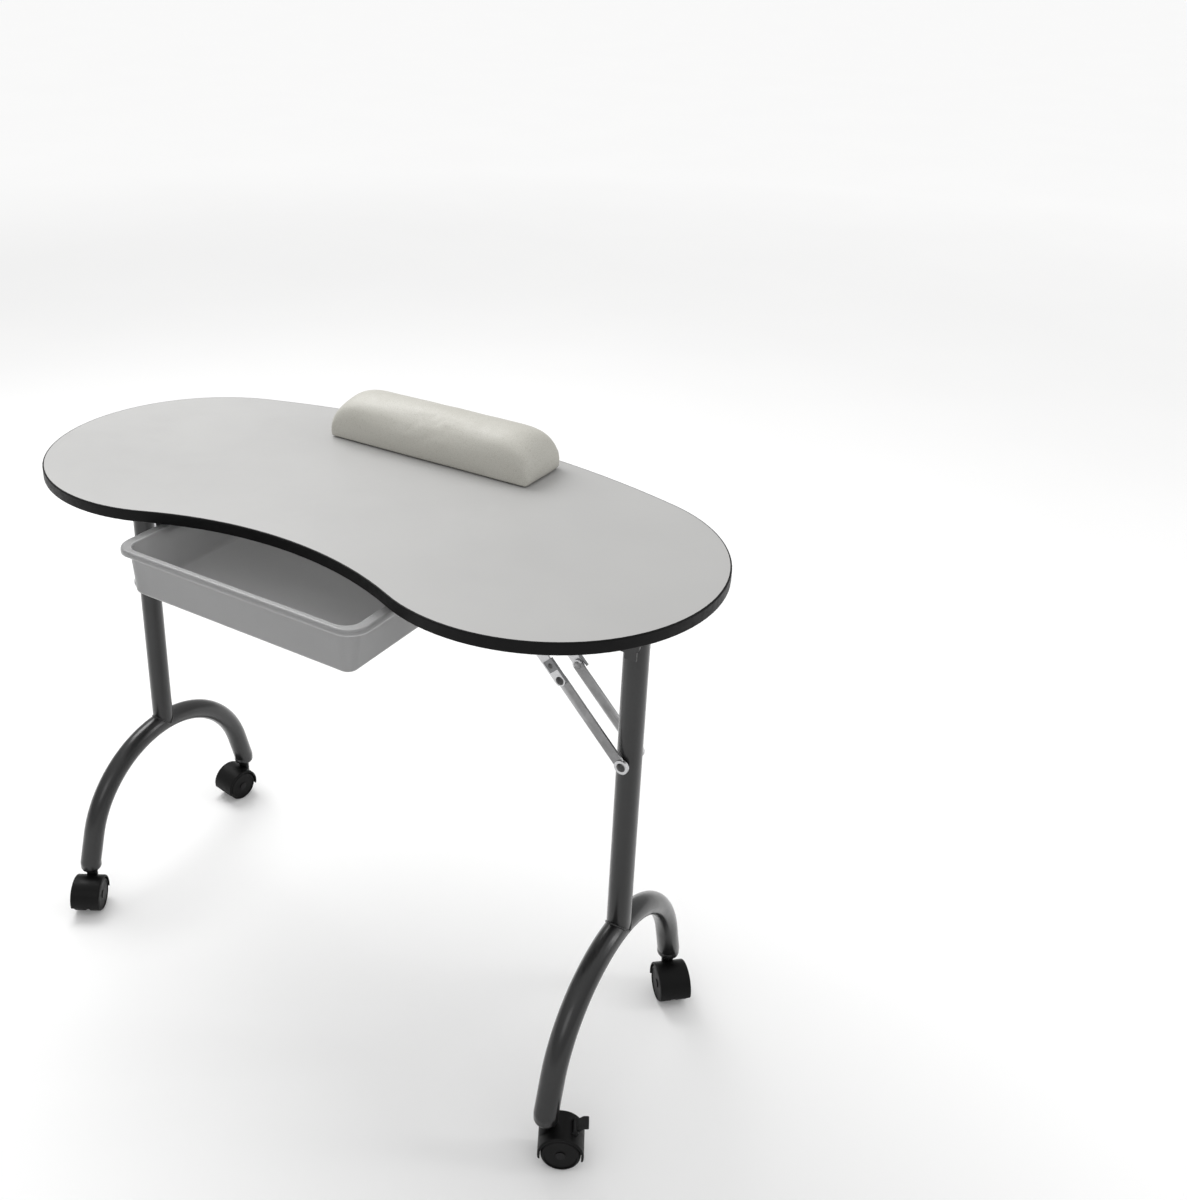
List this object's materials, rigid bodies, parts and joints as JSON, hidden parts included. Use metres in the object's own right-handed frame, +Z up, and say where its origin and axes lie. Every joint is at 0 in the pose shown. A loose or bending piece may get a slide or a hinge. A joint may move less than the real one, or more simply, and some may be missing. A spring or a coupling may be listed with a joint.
{
  "type": "manicure table",
  "caption": "Folding kidney-shaped manicure table on locking casters, with a pull-out plastic drawer tray, a padded wrist cushion and inward-folding braced legs.",
  "frame": {"origin": "on the floor, below the middle of the table with its drawer partly out as in the rest pose", "axes": "+Z up, +X along the length of the tabletop to the right of the seated technician, -Y towards the technician (the concave side with the drawer)"},
  "size_m": [0.9, 0.4647, 0.72],
  "materials": {
    "laminate": "satin",
    "board_core": "matte",
    "edge_banding": "satin",
    "zinc_steel": "zinc plated",
    "black_steel": "black zinc plated",
    "tray_plastic": "satin moulded",
    "cushion_vinyl": "soft grain vinyl",
    "foam": "open cell foam",
    "plywood": "raw",
    "rubber": "matte",
    "painted_tube": "semi-gloss metallic",
    "black_plastic": "moulded",
    "spring_steel": "spring steel",
    "caster_nylon": "moulded nylon",
    "brake_plastic": "moulded nylon"
  },
  "bodies": {
    "tabletop": {"top_core": "board_core", "laminate_faces": "laminate", "edge_band": "edge_banding", "left_hinge_bracket": "painted_tube", "right_hinge_bracket": "painted_tube", "pivot_pins": "zinc_steel", "brace_brackets": "zinc_steel", "drawer_rails": "zinc_steel", "wood_screws": "zinc_steel"},
    "drawer": {"drawer_tray": "tray_plastic"},
    "cushion": {"cushion_cover": "cushion_vinyl", "cushion_foam": "foam", "cushion_base": "plywood", "cushion_grip_dots": "rubber"},
    "right_leg": {"right_post": "painted_tube", "right_arch": "painted_tube", "right_hinge_arm": "painted_tube", "right_tube_plugs": "black_plastic", "right_brace_bolt": "black_steel"},
    "right_front_upper_brace": {"right_front_upper_link": "zinc_steel", "right_front_rivets": "black_steel", "right_front_lock_clip": "spring_steel"},
    "right_front_lower_brace": {"right_front_lower_link": "zinc_steel"},
    "right_back_upper_brace": {"right_back_upper_link": "zinc_steel", "right_back_rivets": "black_steel", "right_back_lock_clip": "spring_steel"},
    "right_back_lower_brace": {"right_back_lower_link": "zinc_steel"},
    "left_leg": {"left_post": "painted_tube", "left_arch": "painted_tube", "left_hinge_arm": "painted_tube", "left_tube_plugs": "black_plastic", "left_brace_bolt": "black_steel"},
    "left_front_upper_brace": {"left_front_upper_link": "zinc_steel", "left_front_rivets": "black_steel", "left_front_lock_clip": "spring_steel"},
    "left_front_lower_brace": {"left_front_lower_link": "zinc_steel"},
    "left_back_upper_brace": {"left_back_upper_link": "zinc_steel", "left_back_rivets": "black_steel", "left_back_lock_clip": "spring_steel"},
    "left_back_lower_brace": {"left_back_lower_link": "zinc_steel"},
    "front_right_caster": {"front_right_caster_hood": "caster_nylon", "front_right_caster_pins": "zinc_steel"},
    "front_right_wheel_a": {"front_right_wheel_a": "caster_nylon"},
    "front_right_wheel_b": {"front_right_wheel_b": "caster_nylon"},
    "front_right_brake": {"front_right_brake_pedal": "brake_plastic"},
    "back_right_caster": {"back_right_caster_hood": "caster_nylon", "back_right_caster_pins": "zinc_steel"},
    "back_right_wheel_a": {"back_right_wheel_a": "caster_nylon"},
    "back_right_wheel_b": {"back_right_wheel_b": "caster_nylon"},
    "front_left_caster": {"front_left_caster_hood": "caster_nylon", "front_left_caster_pins": "zinc_steel"},
    "front_left_wheel_a": {"front_left_wheel_a": "caster_nylon"},
    "front_left_wheel_b": {"front_left_wheel_b": "caster_nylon"},
    "back_left_caster": {"back_left_caster_hood": "caster_nylon", "back_left_caster_pins": "zinc_steel"},
    "back_left_wheel_a": {"back_left_wheel_a": "caster_nylon"},
    "back_left_wheel_b": {"back_left_wheel_b": "caster_nylon"}
  },
  "joints": [
    {"name": "drawer_slide", "type": "slide", "parent": "tabletop", "child": "drawer", "axis": [0, -1, 0], "range_m": [-0.08, 0.06]},
    {"name": "cushion_lift_off", "type": "slide", "parent": "tabletop", "child": "cushion", "axis": [0, 0, 1], "range_m": [0, 0.1]},
    {"name": "right_leg_fold", "type": "hinge", "parent": "tabletop", "child": "right_leg", "pos_m": [0.339, -0.01243, 0.594], "axis": [0, 1, 0], "range_deg": [0, 90]},
    {"name": "right_front_upper_brace_turn", "type": "hinge", "parent": "tabletop", "child": "right_front_upper_brace", "pos_m": [0.19708, -0.03333, 0.626], "axis": [0, 1, 0], "range_deg": [-3.13, 0]},
    {"name": "right_front_lower_brace_turn", "type": "hinge", "parent": "right_leg", "child": "right_front_lower_brace", "pos_m": [0.371, -0.03043, 0.444], "axis": [0, 1, 0], "range_deg": [0, 60.54]},
    {"name": "right_back_upper_brace_turn", "type": "hinge", "parent": "tabletop", "child": "right_back_upper_brace", "pos_m": [0.19708, 0.00847, 0.626], "axis": [0, 1, 0], "range_deg": [-3.13, 0]},
    {"name": "right_back_lower_brace_turn", "type": "hinge", "parent": "right_leg", "child": "right_back_lower_brace", "pos_m": [0.371, 0.00557, 0.444], "axis": [0, 1, 0], "range_deg": [0, 60.54]},
    {"name": "left_leg_fold", "type": "hinge", "parent": "tabletop", "child": "left_leg", "pos_m": [-0.308, -0.01243, 0.594], "axis": [0, -1, 0], "range_deg": [0, 90]},
    {"name": "left_front_upper_brace_turn", "type": "hinge", "parent": "tabletop", "child": "left_front_upper_brace", "pos_m": [-0.19708, -0.03333, 0.626], "axis": [0, -1, 0], "range_deg": [0, 13.25]},
    {"name": "left_front_lower_brace_turn", "type": "hinge", "parent": "left_leg", "child": "left_front_lower_brace", "pos_m": [-0.371, -0.03043, 0.444], "axis": [0, -1, 0], "range_deg": [0, 56.46]},
    {"name": "left_back_upper_brace_turn", "type": "hinge", "parent": "tabletop", "child": "left_back_upper_brace", "pos_m": [-0.19708, 0.00847, 0.626], "axis": [0, -1, 0], "range_deg": [0, 13.25]},
    {"name": "left_back_lower_brace_turn", "type": "hinge", "parent": "left_leg", "child": "left_back_lower_brace", "pos_m": [-0.371, 0.00557, 0.444], "axis": [0, -1, 0], "range_deg": [0, 56.46]},
    {"name": "front_right_caster_swivel", "type": "hinge", "parent": "right_leg", "child": "front_right_caster", "pos_m": [0.371, -0.16571, 0.05], "axis": [0, 0, 1], "continuous": true},
    {"name": "front_right_wheel_a_spin", "type": "hinge", "parent": "front_right_caster", "child": "front_right_wheel_a", "pos_m": [0.38689, -0.15726, 0.0225], "axis": [-0.4695, 0.8829, 0], "continuous": true},
    {"name": "front_right_wheel_b_spin", "type": "hinge", "parent": "front_right_caster", "child": "front_right_wheel_b", "pos_m": [0.38689, -0.15726, 0.0225], "axis": [-0.4695, 0.8829, 0], "continuous": true},
    {"name": "front_right_brake_press", "type": "hinge", "parent": "front_right_caster", "child": "front_right_brake", "pos_m": [0.40074, -0.14989, 0.0476], "axis": [-0.4695, 0.8829, 0], "range_deg": [0, 22]},
    {"name": "back_right_caster_swivel", "type": "hinge", "parent": "right_leg", "child": "back_right_caster", "pos_m": [0.371, 0.14085, 0.05], "axis": [0, 0, 1], "continuous": true},
    {"name": "back_right_wheel_a_spin", "type": "hinge", "parent": "back_right_caster", "child": "back_right_wheel_a", "pos_m": [0.38328, 0.12769, 0.0225], "axis": [0.7314, 0.682, 0], "continuous": true},
    {"name": "back_right_wheel_b_spin", "type": "hinge", "parent": "back_right_caster", "child": "back_right_wheel_b", "pos_m": [0.38328, 0.12769, 0.0225], "axis": [0.7314, 0.682, 0], "continuous": true},
    {"name": "front_left_caster_swivel", "type": "hinge", "parent": "left_leg", "child": "front_left_caster", "pos_m": [-0.371, -0.16571, 0.05], "axis": [0, 0, 1], "continuous": true},
    {"name": "front_left_wheel_a_spin", "type": "hinge", "parent": "front_left_caster", "child": "front_left_wheel_a", "pos_m": [-0.36146, -0.18097, 0.0225], "axis": [0.848, 0.5299, 0], "continuous": true},
    {"name": "front_left_wheel_b_spin", "type": "hinge", "parent": "front_left_caster", "child": "front_left_wheel_b", "pos_m": [-0.36146, -0.18097, 0.0225], "axis": [0.848, 0.5299, 0], "continuous": true},
    {"name": "back_left_caster_swivel", "type": "hinge", "parent": "left_leg", "child": "back_left_caster", "pos_m": [-0.371, 0.14085, 0.05], "axis": [0, 0, 1], "continuous": true},
    {"name": "back_left_wheel_a_spin", "type": "hinge", "parent": "back_left_caster", "child": "back_left_wheel_a", "pos_m": [-0.37382, 0.12308, 0.0225], "axis": [0.9877, -0.1564, 0], "continuous": true},
    {"name": "back_left_wheel_b_spin", "type": "hinge", "parent": "back_left_caster", "child": "back_left_wheel_b", "pos_m": [-0.37382, 0.12308, 0.0225], "axis": [0.9877, -0.1564, 0], "continuous": true}
  ],
  "couplings": [
    {"joint": "right_front_upper_brace_turn", "follows": "right_leg_fold", "ratio": -0.029233},
    {"joint": "right_front_lower_brace_turn", "follows": "right_leg_fold", "ratio": 0.66716},
    {"joint": "right_back_upper_brace_turn", "follows": "right_leg_fold", "ratio": -0.029233},
    {"joint": "right_back_lower_brace_turn", "follows": "right_leg_fold", "ratio": 0.66716},
    {"joint": "left_front_upper_brace_turn", "follows": "left_leg_fold", "ratio": 0.1417},
    {"joint": "left_front_lower_brace_turn", "follows": "left_leg_fold", "ratio": 0.62174},
    {"joint": "left_back_upper_brace_turn", "follows": "left_leg_fold", "ratio": 0.1417},
    {"joint": "left_back_lower_brace_turn", "follows": "left_leg_fold", "ratio": 0.62174}
  ]
}
